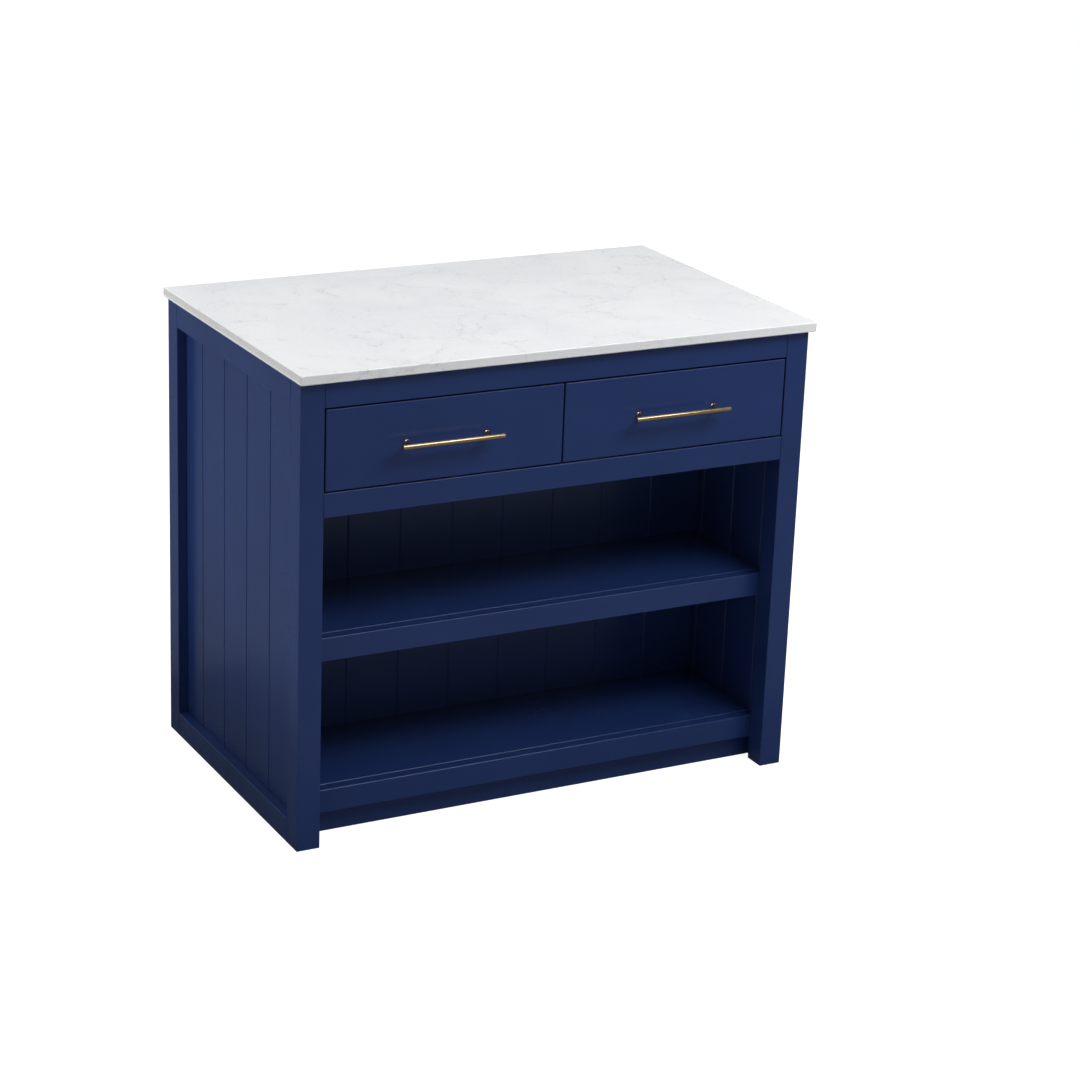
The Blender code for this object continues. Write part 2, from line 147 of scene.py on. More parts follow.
def makeWornEdge():
    # thin film on the eased edges, from the edgeBand attribute that the meshes carry
    group, given, made = newGroup(
        "wornEdge", "ShaderNodeTree",
        [("Vector", vectorSocket, None), ("Scale", floatSocket, 60.0), ("Amount", floatSocket, 0.5)],
        [("Mask", floatSocket)])
    band = addNode(group, "ShaderNodeAttribute", attribute_name="edgeBand").outputs["Fac"]
    patches = noiseOf(group, given["Vector"], given["Scale"], 3.0, 0.6).outputs["Fac"]
    broken = remap(group, patches, 0.35, 0.65)
    amount = calc(group, "MULTIPLY", calc(group, "MULTIPLY", band, broken), given["Amount"])
    group.links.new(amount, made["Mask"])
    return group


def makeFilmRipple():
    # the skin of a sprayed or polished surface: short grain and a long slow wave
    group, given, made = newGroup(
        "filmRipple", "ShaderNodeTree",
        [("Vector", vectorSocket, None), ("Grain", floatSocket, 420.0), ("Wave", floatSocket, 14.0)],
        [("Height", floatSocket)])
    cells = addNode(group, "ShaderNodeTexVoronoi",
                    {"Vector": given["Vector"], "Scale": given["Grain"], "Smoothness": 1.0},
                    feature="SMOOTH_F1").outputs["Distance"]
    waves = noiseOf(group, given["Vector"], given["Wave"], 1.0).outputs["Fac"]
    height = calc(group, "MULTIPLY_ADD", waves, 6.0, cells)
    group.links.new(height, made["Height"])
    return group


def makeBrushLines():
    # fine parallel scratches; Spread is large across them and small along them
    group, given, made = newGroup(
        "brushLines", "ShaderNodeTree",
        [("Vector", vectorSocket, None), ("Spread", vectorSocket, (30.0, 2500.0, 2500.0))],
        [("Height", floatSocket), ("Mask", floatSocket)])
    lined = addNode(group, "ShaderNodeVectorMath", {0: given["Vector"], 1: given["Spread"]},
                    operation="MULTIPLY").outputs[0]
    fine = noiseOf(group, lined, 1.0, 4.0, 0.6).outputs["Fac"]
    broad = noiseOf(group, lined, 0.22, 2.0, 0.5).outputs["Fac"]
    height = calc(group, "MULTIPLY_ADD", broad, 0.6, fine)
    group.links.new(height, made["Height"])
    group.links.new(remap(group, fine, 0.3, 0.7), made["Mask"])
    return group


def makeStoneVeins():
    # broken hair veins: the walls of warped cells, kept only in patches
    group, given, made = newGroup(
        "stoneVeins", "ShaderNodeTree",
        [("Vector", vectorSocket, None), ("Scale", floatSocket, 9.0), ("Width", floatSocket, 0.02),
         ("Patch", floatSocket, 7.0), ("Cover", floatSocket, 0.52)],
        [("Mask", floatSocket)])
    warpNoise = noiseOf(group, given["Vector"], calc(group, "MULTIPLY", given["Scale"], 1.7), 5.0, 0.65)
    centred = addNode(group, "ShaderNodeVectorMath", {0: warpNoise.outputs["Color"], 1: (0.5, 0.5, 0.5)},
                      operation="SUBTRACT").outputs[0]
    warp = addNode(group, "ShaderNodeVectorMath", {0: centred, 1: (0.12, 0.12, 0.12)},
                   operation="MULTIPLY").outputs[0]
    warped = addNode(group, "ShaderNodeVectorMath", {0: given["Vector"], 1: warp},
                     operation="ADD").outputs[0]
    wall = addNode(group, "ShaderNodeTexVoronoi", {"Vector": warped, "Scale": given["Scale"]},
                   feature="DISTANCE_TO_EDGE").outputs["Distance"]
    line = addNode(group, "ShaderNodeMapRange",
                   {"Value": wall, "From Min": 0.0, "From Max": given["Width"],
                    "To Min": 1.0, "To Max": 0.0},
                   interpolation_type="SMOOTHSTEP").outputs[0]
    patch = noiseOf(group, given["Vector"], given["Patch"], 4.0, 0.6, 0.4).outputs["Fac"]
    patchTop = calc(group, "ADD", given["Cover"], 0.12)
    patchMask = addNode(group, "ShaderNodeMapRange",
                        {"Value": patch, "From Min": given["Cover"], "From Max": patchTop}).outputs[0]
    group.links.new(calc(group, "MULTIPLY", line, patchMask), made["Mask"])
    return group


handMarks = makeHandMarks()
wornEdge = makeWornEdge()
filmRipple = makeFilmRipple()
brushLines = makeBrushLines()
stoneVeins = makeStoneVeins()
print("kitchen island: shared surface groups made")


def newMaterial(name):
    material = bpy.data.materials.new(name)
    material.use_nodes = True
    tree = material.node_tree
    shader = tree.nodes["Principled BSDF"]
    coords = addNode(tree, "ShaderNodeTexCoord").outputs["Object"]
    return material, tree, shader, coords


def joinShader(tree, shader, colour, roughness, height=None, bumpSize=0.0001):
    tree.links.new(colour, shader.inputs["Base Color"])
    tree.links.new(roughness, shader.inputs["Roughness"])
    if height is not None:
        bump = addNode(tree, "ShaderNodeBump", {"Strength": 1.0, "Distance": bumpSize, "Height": height})
        tree.links.new(bump.outputs["Normal"], shader.inputs["Normal"])


navyLacquer = {
    "colour": (0.0132, 0.0325, 0.1260, 1),
    "slowShade": (0.0118, 0.0292, 0.1150, 1),
    "edgeColour": (0.022, 0.042, 0.140, 1),
    "edgeAmount": 0.40,
    "roughness": 0.24,
    "gloss": 0.5,
    "shadeScale": 5.0,             # slow drift of the colour over a board
    "marks": 0.10,
    "marksScale": 7.0,
    "ripple": 0.0000015,
    "rippleGrain": 520.0,
    "rippleWave": 16.0,
}


def makeNavyLacquer():
    material, tree, shader, coords = newMaterial("navyLacquer")
    slow = noiseOf(tree, coords, navyLacquer["shadeScale"], 2.0).outputs["Fac"]
    body = mixColour(tree, remap(tree, slow, 0.35, 0.65), navyLacquer["colour"], navyLacquer["slowShade"])
    edge = useGroup(tree, wornEdge, {"Vector": coords, "Amount": navyLacquer["edgeAmount"]})["Mask"]
    colour = mixColour(tree, edge, body, navyLacquer["edgeColour"])
    marks = useGroup(tree, handMarks, {"Vector": coords, "Scale": navyLacquer["marksScale"],
                                       "Strength": navyLacquer["marks"]})
    roughness = calc(tree, "ADD", marks["Roughness Change"], navyLacquer["roughness"])
    ripple = useGroup(tree, filmRipple, {"Vector": coords, "Grain": navyLacquer["rippleGrain"],
                                         "Wave": navyLacquer["rippleWave"]})["Height"]
    joinShader(tree, shader, colour, roughness, ripple, navyLacquer["ripple"])
    shader.inputs["Specular IOR Level"].default_value = navyLacquer["gloss"]
    return material


quartzTop = {
    "colour": (0.743, 0.756, 0.769, 1),
    "cloud": (0.688, 0.705, 0.728, 1),
    "vein": (0.440, 0.425, 0.425, 1),
    "chip": (0.610, 0.605, 0.605, 1),
    "bright": (0.830, 0.835, 0.835, 1),
    # warmer grey of the honed edge, made darker than the stone so it also acts as painted shade on the
    # slab's edges
    "honed": (0.770, 0.750, 0.715, 1),
    "roughness": 0.22,
    "honedRoughness": 0.25,        # added on the honed edge
    "cloudScale": 5.0,
    "chipScale": 620.0,
    "chipStrength": 0.35,
    "brightStrength": 0.5,
    "veinStrength": 0.62,
    "haloStrength": 0.40,
    "fineStrength": 0.8,
    "fleckScale": 90.0,
    "broadVeins": {"Scale": 7.0, "Width": 0.022, "Patch": 6.0, "Cover": 0.46},
    "fineVeins": {"Scale": 19.0, "Width": 0.045, "Patch": 10.0, "Cover": 0.50},
    "haloVeins": {"Scale": 7.0, "Width": 0.16, "Patch": 6.0, "Cover": 0.44},
    "ripple": 0.000004,
}


def makeQuartz():
    material, tree, shader, coords = newMaterial("whiteQuartz")
    clouds = noiseOf(tree, coords, quartzTop["cloudScale"], 6.0, 0.62, 0.8).outputs["Fac"]
    colour = mixColour(tree, remap(tree, clouds, 0.38, 0.68), quartzTop["colour"], quartzTop["cloud"])
    grains = addNode(tree, "ShaderNodeTexVoronoi", {"Vector": coords, "Scale": quartzTop["chipScale"]})
    tone = addNode(tree, "ShaderNodeSeparateColor", {"Color": grains.outputs["Color"]}).outputs[0]
    chips = calc(tree, "MULTIPLY", remap(tree, tone, 0.90, 0.94), quartzTop["chipStrength"])
    lights = calc(tree, "MULTIPLY", remap(tree, tone, 0.12, 0.06), quartzTop["brightStrength"])
    colour = mixColour(tree, chips, colour, quartzTop["chip"])
    colour = mixColour(tree, lights, colour, quartzTop["bright"])
    broad, fine, halo = (useGroup(tree, stoneVeins, {"Vector": coords, **quartzTop[kind]})["Mask"]
                         for kind in ("broadVeins", "fineVeins", "haloVeins"))
    flecks = noiseOf(tree, coords, quartzTop["fleckScale"], 3.0, 0.7).outputs["Fac"]
    broken = remap(tree, flecks, 0.42, 0.62, 0.15, 1.0)
    softer = calc(tree, "MULTIPLY", fine, quartzTop["fineStrength"])
    veins = calc(tree, "MULTIPLY", calc(tree, "MAXIMUM", broad, softer), broken)
    haloMask = calc(tree, "MULTIPLY", halo, quartzTop["haloStrength"])
    colour = mixColour(tree, haloMask, colour, quartzTop["cloud"])
    veinMask = calc(tree, "MULTIPLY", veins, quartzTop["veinStrength"])
    colour = mixColour(tree, veinMask, colour, quartzTop["vein"])
    # the edge band multiplies in that grey: partly the honed edge's own tone, partly painted shade
    band = addNode(tree, "ShaderNodeAttribute", attribute_name="edgeBand").outputs["Fac"]
    colour = addNode(tree, "ShaderNodeMix", {0: band, 6: colour, 7: quartzTop["honed"]},
                     data_type="RGBA", blend_type="MULTIPLY").outputs[2]
    marks = useGroup(tree, handMarks, {"Vector": coords, "Scale": 4.0, "Strength": 0.06})
    roughness = calc(tree, "MULTIPLY_ADD", band, quartzTop["honedRoughness"],
                     calc(tree, "ADD", marks["Roughness Change"], quartzTop["roughness"]))
    ripple = useGroup(tree, filmRipple, {"Vector": coords, "Grain": 700.0, "Wave": 9.0})["Height"]
    joinShader(tree, shader, colour, roughness, ripple, quartzTop["ripple"])
    return material


brassBar = {
    "colour": (0.800, 0.625, 0.425, 1),
    "deep": (0.610, 0.425, 0.235, 1),
    "roughness": 0.19,
    "lines": (40.0, 2600.0, 2600.0),
    "lineDepth": 0.000008,
}


def makeBrass():
    material, tree, shader, coords = newMaterial("brushedBrass")
    lines = useGroup(tree, brushLines, {"Vector": coords, "Spread": brassBar["lines"]})
    slow = noiseOf(tree, coords, 35.0, 3.0).outputs["Fac"]
    tint = calc(tree, "MULTIPLY_ADD", slow, 0.5, calc(tree, "MULTIPLY", lines["Mask"], 0.45))
    colour = mixColour(tree, tint, brassBar["colour"], brassBar["deep"])
    marks = useGroup(tree, handMarks, {"Vector": coords, "Scale": 45.0, "Strength": 0.14})
    roughness = calc(tree, "ADD", marks["Roughness Change"],
                     calc(tree, "MULTIPLY_ADD", lines["Mask"], 0.10, brassBar["roughness"]))
    joinShader(tree, shader, colour, roughness, lines["Height"], brassBar["lineDepth"])
    shader.inputs["Metallic"].default_value = 1.0
    return material


birchPly = {
    "pale": (0.720, 0.560, 0.370, 1),
    "warm": (0.600, 0.430, 0.250, 1),
    "plyDark": (0.360, 0.215, 0.105, 1),
    "plyPitch": 0.0013,
    "roughness": 0.48,
    "grainDepth": 0.00012,
}


def makeBirch():
    # boardPlace runs along, across and through each board; plyEdge is 1 on its sawn edges
    material, tree, shader, coords = newMaterial("birchPly")
    place = addNode(tree, "ShaderNodeAttribute", attribute_name="boardPlace").outputs["Vector"]
    figure = noiseOf(tree, stretched(tree, place, (1.6, 22.0, 22.0)), 1.0, 4.0, 0.6, 1.2).outputs["Fac"]
    pores = noiseOf(tree, stretched(tree, place, (45.0, 1500.0, 1500.0)), 1.0, 2.0).outputs["Fac"]
    grain = calc(tree, "MULTIPLY_ADD", remap(tree, figure, 0.3, 0.7), 0.7,
                 calc(tree, "MULTIPLY", remap(tree, pores, 0.45, 0.7), 0.45))
    face = mixColour(tree, grain, birchPly["pale"], birchPly["warm"])
    depth = addNode(tree, "ShaderNodeSeparateXYZ", {0: place}).outputs[2]
    layer = calc(tree, "PINGPONG", depth, birchPly["plyPitch"])
    layerMask = remap(tree, layer, birchPly["plyPitch"] * 0.42, birchPly["plyPitch"] * 0.58)
    plies = mixColour(tree, calc(tree, "MULTIPLY", layerMask, 0.7), face, birchPly["plyDark"])
    sawn = addNode(tree, "ShaderNodeAttribute", attribute_name="plyEdge").outputs["Fac"]
    colour = mixColour(tree, sawn, face, plies)
    edge = useGroup(tree, wornEdge, {"Vector": coords, "Amount": 0.35})["Mask"]
    colour = mixColour(tree, edge, colour, birchPly["pale"])
    marks = useGroup(tree, handMarks, {"Vector": coords, "Scale": 12.0, "Strength": 0.12})
    roughness = calc(tree, "ADD", marks["Roughness Change"], birchPly["roughness"])
    joinShader(tree, shader, colour, roughness, calc(tree, "ADD", pores, figure), birchPly["grainDepth"])
    return material


zincParts = {
    "light": (0.640, 0.655, 0.680, 1),
    "dull": (0.500, 0.515, 0.545, 1),
    "roughness": 0.30,
    "lines": (1800.0, 25.0, 1800.0),
    "lineDepth": 0.00002,
    "spangleScale": 160.0,
}


def makeZinc():
    material, tree, shader, coords = newMaterial("zincSteel")
    lines = useGroup(tree, brushLines, {"Vector": coords, "Spread": zincParts["lines"]})
    cells = addNode(tree, "ShaderNodeTexVoronoi", {"Vector": coords, "Scale": zincParts["spangleScale"]})
    spangle = addNode(tree, "ShaderNodeSeparateColor", {"Color": cells.outputs["Color"]}).outputs[0]
    tint = calc(tree, "MULTIPLY_ADD", spangle, 0.35, calc(tree, "MULTIPLY", lines["Mask"], 0.5))
    colour = mixColour(tree, tint, zincParts["light"], zincParts["dull"])
    marks = useGroup(tree, handMarks, {"Vector": coords, "Scale": 40.0, "Strength": 0.15})
    roughness = calc(tree, "ADD", marks["Roughness Change"],
                     calc(tree, "MULTIPLY_ADD", spangle, 0.08, zincParts["roughness"]))
    joinShader(tree, shader, colour, roughness, lines["Height"], zincParts["lineDepth"])
    shader.inputs["Metallic"].default_value = 1.0
    return material


finishes = {
    "navy_paint": makeNavyLacquer(),
    "white_quartz": makeQuartz(),
    "brushed_brass": makeBrass(),
    "drawer_birch": makeBirch(),
    "zinc_steel": makeZinc(),
}
print("kitchen island: finishes made")


def camelName(node):
    first, *rest = node.split("_")
    return first + "".join(word.capitalize() for word in rest)


def addPiece(name, mesh, slotName, nodes=(), body=None):
    piece = bpy.data.objects.new(name, mesh)
    scene.collection.objects.link(piece)
    mesh.materials.clear()
    mesh.materials.append(finishes[slotName])
    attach(piece, body or bodyOf[nodes[0]])
    if nodes:
        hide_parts(*nodes)
    return piece


def mergedCopy(node):
    # the node's surface as closed flat faces, without its triangles
    source = frame["nodes"][node].data
    shape = bmesh.new()
    corners = [shape.verts.new(vertex.co) for vertex in source.vertices]
    for polygon in source.polygons:
        try:
            shape.faces.new([corners[index] for index in polygon.vertices])
        except ValueError:
            continue
    bmesh.ops.remove_doubles(shape, verts=shape.verts, dist=0.00002)
    bmesh.ops.dissolve_degenerate(shape, edges=shape.edges, dist=0.00001)
    bmesh.ops.dissolve_limit(shape, angle_limit=math.radians(1), verts=shape.verts, edges=shape.edges)
    mesh = bpy.data.meshes.new(camelName(node))
    shape.to_mesh(mesh)
    shape.free()
    return mesh


def plainMesh(carrier):
    # what the carrier's modifiers make, as a mesh of its own
    made = bpy.data.meshes.new_from_object(carrier.evaluated_get(bpy.context.evaluated_depsgraph_get()))
    made.name = carrier.name
    bpy.data.objects.remove(carrier)
    return made


def roundEdges(mesh, width, steps=2):
    carrier = bpy.data.objects.new(mesh.name, mesh)
    scene.collection.objects.link(carrier)
    bevel = carrier.modifiers.new("easedEdges", "BEVEL")
    bevel.width = width
    bevel.segments = steps
    bevel.limit_method = "ANGLE"
    bevel.angle_limit = math.radians(25)
    bevel.use_clamp_overlap = True
    return plainMesh(carrier)


def setAttribute(mesh, name, kind, domain, values):
    layer = mesh.attributes.new(name, kind, domain)
    layer.data.foreach_set("vector" if kind == "FLOAT_VECTOR" else "value", values)


def markEdges(mesh):
    # 1 on the narrow turned faces between a board's flat ones
    marks = []
    for polygon in mesh.polygons:
        straight = max(abs(part) for part in polygon.normal) > 0.985
        marks.append(0.0 if straight else 1.0)
    setAttribute(mesh, "edgeBand", "FLOAT", "FACE", marks)


def markBoard(mesh, shift):
    # along, across and through the board, and which faces show its plies
    low = Vector([min(v.co[axis] for v in mesh.vertices) for axis in range(3)])
    high = Vector([max(v.co[axis] for v in mesh.vertices) for axis in range(3)])
    order = sorted(range(3), key=lambda axis: low[axis] - high[axis])
    places = []
    for vertex in mesh.vertices:
        offset = vertex.co - low
        places += [offset[order[0]] + shift, offset[order[1]] + shift * 0.37, offset[order[2]]]
    setAttribute(mesh, "boardPlace", "FLOAT_VECTOR", "POINT", places)
    sawn = [0.0 if abs(polygon.normal[order[2]]) > 0.7 else 1.0 for polygon in mesh.polygons]
    setAttribute(mesh, "plyEdge", "FLOAT", "FACE", sawn)


def ringMesh(name, shape, rings):
    # a skin over rings of corners, closed at both ends
    count = len(rings[0])
    for lower, upper in zip(rings, rings[1:]):
        for number in range(count):
            following = (number + 1) % count
            shape.faces.new((lower[number], lower[following], upper[following], upper[number]))
    shape.faces.new(rings[0])
    shape.faces.new(rings[-1])
    bmesh.ops.recalc_face_normals(shape, faces=shape.faces)
    mesh = bpy.data.meshes.new(name)
    shape.to_mesh(mesh)
    shape.free()
    return mesh


worktop = {
    "cornerRadius": 0.0022,
    "cornerSteps": 4,
    "sawnFrom": 0.0052,            # above this the edge is honed and shows a warmer grey, darkened further as painted shade
    "longEdge": 0.15,              # how much of that honed finish and its painted shade the long edges show, as they stand in more light than the ends
    # inset from the sides and height above the underside, then the same for the eased top edge
    "lowerEdge": ((0.0016, 0.0), (0.0003, 0.0012), (0.0, 0.0020), (0.0, 0.0052)),
    "upperEdge": ((0.0, 0.0022), (0.0002, 0.0012), (0.0007, 0.0005), (0.0014, 0.0001), (0.0022, 0.0)),
}


def makeWorktop():
    low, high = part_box("countertop")
    levels = [(inset, low.z + rise) for inset, rise in worktop["lowerEdge"]]
    levels += [(inset, high.z - drop) for inset, drop in worktop["upperEdge"]]
    shape = bmesh.new()
    loops = []
    for inset, height in levels:
        radius = max(worktop["cornerRadius"] - inset * 0.4, 0.0008)
        loop = []
        for quarter, (signX, signY) in enumerate(((1, 1), (-1, 1), (-1, -1), (1, -1))):
            centreX = (high.x if signX > 0 else low.x) - signX * (inset + radius)
            centreY = (high.y if signY > 0 else low.y) - signY * (inset + radius)
            for step in range(worktop["cornerSteps"] + 1):
                angle = (quarter + step / worktop["cornerSteps"]) * math.pi / 2
                loop.append(shape.verts.new((centreX + radius * math.cos(angle),
                                             centreY + radius * math.sin(angle), height)))
        loops.append(loop)
    mesh = ringMesh("countertopSlab", shape, loops)
    sawn = low.z + worktop["sawnFrom"]
    marks = []
    for face in mesh.polygons:
        # painted shade: the ends take the full darker edge grey, the long sides only a little of it
        honingAndShadeShare = worktop["longEdge"] if abs(face.normal.y) > 0.7 else 1.0
        marks.append(honingAndShadeShare if face.center.z > sawn and abs(face.normal.z) < 0.6 else 0.0)
    setAttribute(mesh, "edgeBand", "FLOAT", "FACE", marks)
    addPiece("countertopSlab", mesh, "white_quartz", ("countertop",))


makeWorktop()
print("kitchen island: worktop made")

boards = {
    "lacquerEasing": 0.0004,
    "cleatEasing": 0.0008,
    "boxEasing": 0.0005,
    "slideEasing": 0.0004,
    "grainShift": 0.83,            # moves the grain on from board to board
    "frame": ("front_left_post", "front_right_post", "back_left_post", "back_right_post",
              "left_top_rail", "right_top_rail", "left_foot_rail", "right_foot_rail",
              "front_top_rail", "back_top_rail", "front_drawer_rail", "back_drawer_rail",
              "upper_shelf", "lower_shelf", "upper_shelf_front_rail", "upper_shelf_back_rail",
              "lower_shelf_front_rail", "lower_shelf_back_rail", "front_toe_kick", "back_toe_kick",
              "drawer_divider"),
    "cleats": ("left_slide_cleat", "right_slide_cleat"),
    "fronts": ("left_drawer_front", "right_drawer_front"),
    "box": ("box_front", "inner_side", "outer_side", "box_back", "bottom"),
    "slide": ("fixed", "middle", "moving"),
}

easedBoards = {node: ("navy_paint", boards["lacquerEasing"]) for node in boards["frame"]}
easedBoards.update({node: ("drawer_birch", boards["cleatEasing"]) for node in boards["cleats"]})
easedBoards.update({node: ("navy_paint", boards["lacquerEasing"]) for node in boards["fronts"]})
for side in ("left", "right"):
    for board in boards["box"]:
        easedBoards[f"{side}_drawer_{board}"] = ("drawer_birch", boards["boxEasing"])
    for place in ("inner", "outer"):
        for member in boards["slide"]:
            easedBoards[f"{side}_drawer_{place}_slide_{member}"] = ("zinc_steel", boards["slideEasing"])

for number, (node, (slotName, easing)) in enumerate(easedBoards.items()):
    board = roundEdges(mergedCopy(node), easing)
    markEdges(board)
    if slotName == "drawer_birch":
        markBoard(board, boards["grainShift"] * number)
    addPiece(camelName(node), board, slotName, (node,))
print("kitchen island: boards, box and slide members eased")


def growMesh(name, tree, values):
    # one run of a geometry tree, turned to a plain closed mesh
    carrier = bpy.data.objects.new(name, bpy.data.meshes.new(name))
    scene.collection.objects.link(carrier)
    shape = carrier.modifiers.new("shape", "NODES")
    shape.node_group = tree
    for item in tree.interface.items_tree:
        if item.item_type == "SOCKET" and item.in_out == "INPUT" and item.name in values:
            shape[item.identifier] = values[item.name]
    mesh = plainMesh(carrier)
    solid = bmesh.new()
    solid.from_mesh(mesh)
    bmesh.ops.remove_doubles(solid, verts=solid.verts, dist=0.000005)
    bmesh.ops.recalc_face_normals(solid, faces=solid.faces)
    solid.to_mesh(mesh)
    solid.free()
    return mesh


def joinMeshes(name, meshes):
    whole = bmesh.new()
    for mesh in meshes:
        whole.from_mesh(mesh)
    joined = bpy.data.meshes.new(name)
    whole.to_mesh(joined)
    whole.free()
    return joined


def finishTree(tree, made, geometry, material):
    solid = addNode(tree, "GeometryNodeRealizeInstances", {0: geometry}).outputs[0]
    painted = addNode(tree, "GeometryNodeSetMaterial", {"Geometry": solid, "Material": material})
    tree.links.new(painted.outputs[0], made["Geometry"])


def makePanelTree():
    # a grooved board: both faces are one closed outline whose corners follow the groove pitch
    tree, given, made = newGroup(
        "groovedPanel", "GeometryNodeTree",
        [("Width", floatSocket, 0.5), ("Height", floatSocket, 0.5), ("Thickness", floatSocket, 0.016),
         ("First Groove", floatSocket, 0.05), ("Groove Pitch", floatSocket, 0.11),
         ("Groove Count", intSocket, 4), ("Groove Width", floatSocket, 0.006),
         ("Groove Depth", floatSocket, 0.003), ("Material", materialSocket, None)],
        [("Geometry", geometrySocket)])
    cornersPerGroove = 5
    perFace = calc(tree, "MULTIPLY_ADD", given["Groove Count"], cornersPerGroove, 2.0)
    total = calc(tree, "MULTIPLY", perFace, 2.0)
    index = addNode(tree, "GeometryNodeInputIndex").outputs[0]
    isBack = calc(tree, "GREATER_THAN", index, calc(tree, "SUBTRACT", perFace, 0.5))
    mirrored = calc(tree, "SUBTRACT", calc(tree, "SUBTRACT", total, 1.0), index)
    frontPart = calc(tree, "MULTIPLY", index, calc(tree, "SUBTRACT", 1.0, isBack))
    corner = calc(tree, "MULTIPLY_ADD", mirrored, isBack, frontPart)
    column = calc(tree, "SUBTRACT", corner, 1.0)
    groove = calc(tree, "FLOOR", calc(tree, "DIVIDE", calc(tree, "ADD", column, 0.25), cornersPerGroove))
    step = calc(tree, "SUBTRACT", calc(tree, "MULTIPLY_ADD", groove, -float(cornersPerGroove), column), 2.0)
    reach = calc(tree, "ABSOLUTE", step)
    bend = calc(tree, "MULTIPLY", calc(tree, "MULTIPLY", reach, reach), -0.225)
    spread = calc(tree, "MULTIPLY_ADD", reach, 1.025, bend)       # 0, 0.8 and 1.15 half widths
    aside = calc(tree, "MULTIPLY", calc(tree, "MULTIPLY", calc(tree, "SIGN", step), spread),
                 calc(tree, "MULTIPLY", given["Groove Width"], 0.5))
    grooveX = calc(tree, "ADD", calc(tree, "MULTIPLY_ADD", groove, given["Groove Pitch"],
                                     given["First Groove"]), aside)
    isFirst = calc(tree, "LESS_THAN", corner, 0.5)
    isLast = calc(tree, "GREATER_THAN", corner, calc(tree, "SUBTRACT", perFace, 1.5))
    between = calc(tree, "SUBTRACT", calc(tree, "SUBTRACT", 1.0, isFirst), isLast)
    x = calc(tree, "MULTIPLY_ADD", grooveX, between, calc(tree, "MULTIPLY", isLast, given["Width"]))
    sunk = calc(tree, "MAXIMUM", calc(tree, "MULTIPLY_ADD", reach, -0.88, 1.0), 0.0)
    depth = calc(tree, "MULTIPLY", sunk, given["Groove Depth"])
    outward = calc(tree, "MULTIPLY_ADD", isBack, 2.0, -1.0)
    y = calc(tree, "MULTIPLY", outward, calc(tree, "MULTIPLY_ADD", given["Thickness"], 0.5,
                                             calc(tree, "MULTIPLY", depth, -1.0)))
    place = addNode(tree, "ShaderNodeCombineXYZ", {0: x, 1: y}).outputs[0]
    ring = addNode(tree, "GeometryNodeCurvePrimitiveCircle", {"Resolution": total}).outputs[0]
    outline = addNode(tree, "GeometryNodeSetPosition", {"Geometry": ring, "Position": place}).outputs[0]
    base = addNode(tree, "GeometryNodeFillCurve", {0: outline}, mode="NGONS").outputs[0]
    up = addNode(tree, "ShaderNodeCombineXYZ", {2: given["Height"]}).outputs[0]
    raised = addNode(tree, "GeometryNodeExtrudeMesh",
                     {"Mesh": base, "Offset": up, "Offset Scale": 1.0, "Individual": False}).outputs[0]
    under = addNode(tree, "GeometryNodeFlipFaces", {0: base}).outputs[0]
    both = addNode(tree, "GeometryNodeJoinGeometry")
    tree.links.new(raised, both.inputs[0])
    tree.links.new(under, both.inputs[0])
    closed = addNode(tree, "GeometryNodeMergeByDistance",
                     {"Geometry": both.outputs[0], "Distance": 0.00001})
    finishTree(tree, made, closed.outputs[0], given["Material"])
    return tree


groovedPanels = {
    "pitch": 0.1113,
    "grooveWidth": 0.0044,
    "sideDepth": 0.0028,
    "acrossDepth": 0.0013,         # the panels behind the shelves are cut more shallowly
    "sideFirst": -0.2408,          # first groove of a side panel, from the middle of the frame
    "acrossFirst": -0.3994,        # first groove of a panel that runs across
    "sideCount": 5,
    "acrossCount": 8,
}


def makePanel(node, tree, alongSide):
    low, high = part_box(node)
    size = high - low
    width = size.y if alongSide else size.x
    start = low.y if alongSide else low.x
    pitch = groovedPanels["pitch"]
    kind = "side" if alongSide else "across"
    first = groovedPanels[kind + "First"] - start
    count = groovedPanels[kind + "Count"]
    while first - pitch > groovedPanels["grooveWidth"]:
        first -= pitch
        count += 1
    while first + (count - 1) * pitch > width - groovedPanels["grooveWidth"]:
        count -= 1
    mesh = growMesh(camelName(node), tree, {
        "Width": width, "Height": size.z, "Thickness": size.x if alongSide else size.y,
        "First Groove": first, "Groove Pitch": pitch, "Groove Count": count,
        "Groove Width": groovedPanels["grooveWidth"], "Groove Depth": groovedPanels[kind + "Depth"],
        "Material": finishes["navy_paint"]})
    if alongSide:
        turn = Matrix.Rotation(math.pi / 2, 4, "Z")
        mesh.transform(Matrix.Translation(((low.x + high.x) / 2, low.y, low.z)) @ turn)
    else:
        mesh.transform(Matrix.Translation((low.x, (low.y + high.y) / 2, low.z)))
    addPiece(camelName(node), mesh, "navy_paint", (node,))


panelTree = makePanelTree()
for side in ("left", "right"):
    makePanel(f"{side}_side_panel", panelTree, True)
for node in ("upper_centre_panel", "lower_centre_panel", "back_apron"):
    makePanel(node, panelTree, False)
print("kitchen island: grooved panels grown")


def turnedMesh(name, profile, along, centre, sides=48):
    # profile is (distance along the axis, radius), from one closed end to the other
    shape = bmesh.new()
    axis = Vector(along)
    across = axis.orthogonal().normalized()
    other = axis.cross(across)
    rings = []
    for distance, radius in profile:
        ring = []
        for number in range(sides):
            angle = 2 * math.pi * number / sides
            out = across * math.cos(angle) + other * math.sin(angle)
            ring.append(shape.verts.new(Vector(centre) + axis * distance + out * radius))
        rings.append(ring)
    return ringMesh(name, shape, rings)


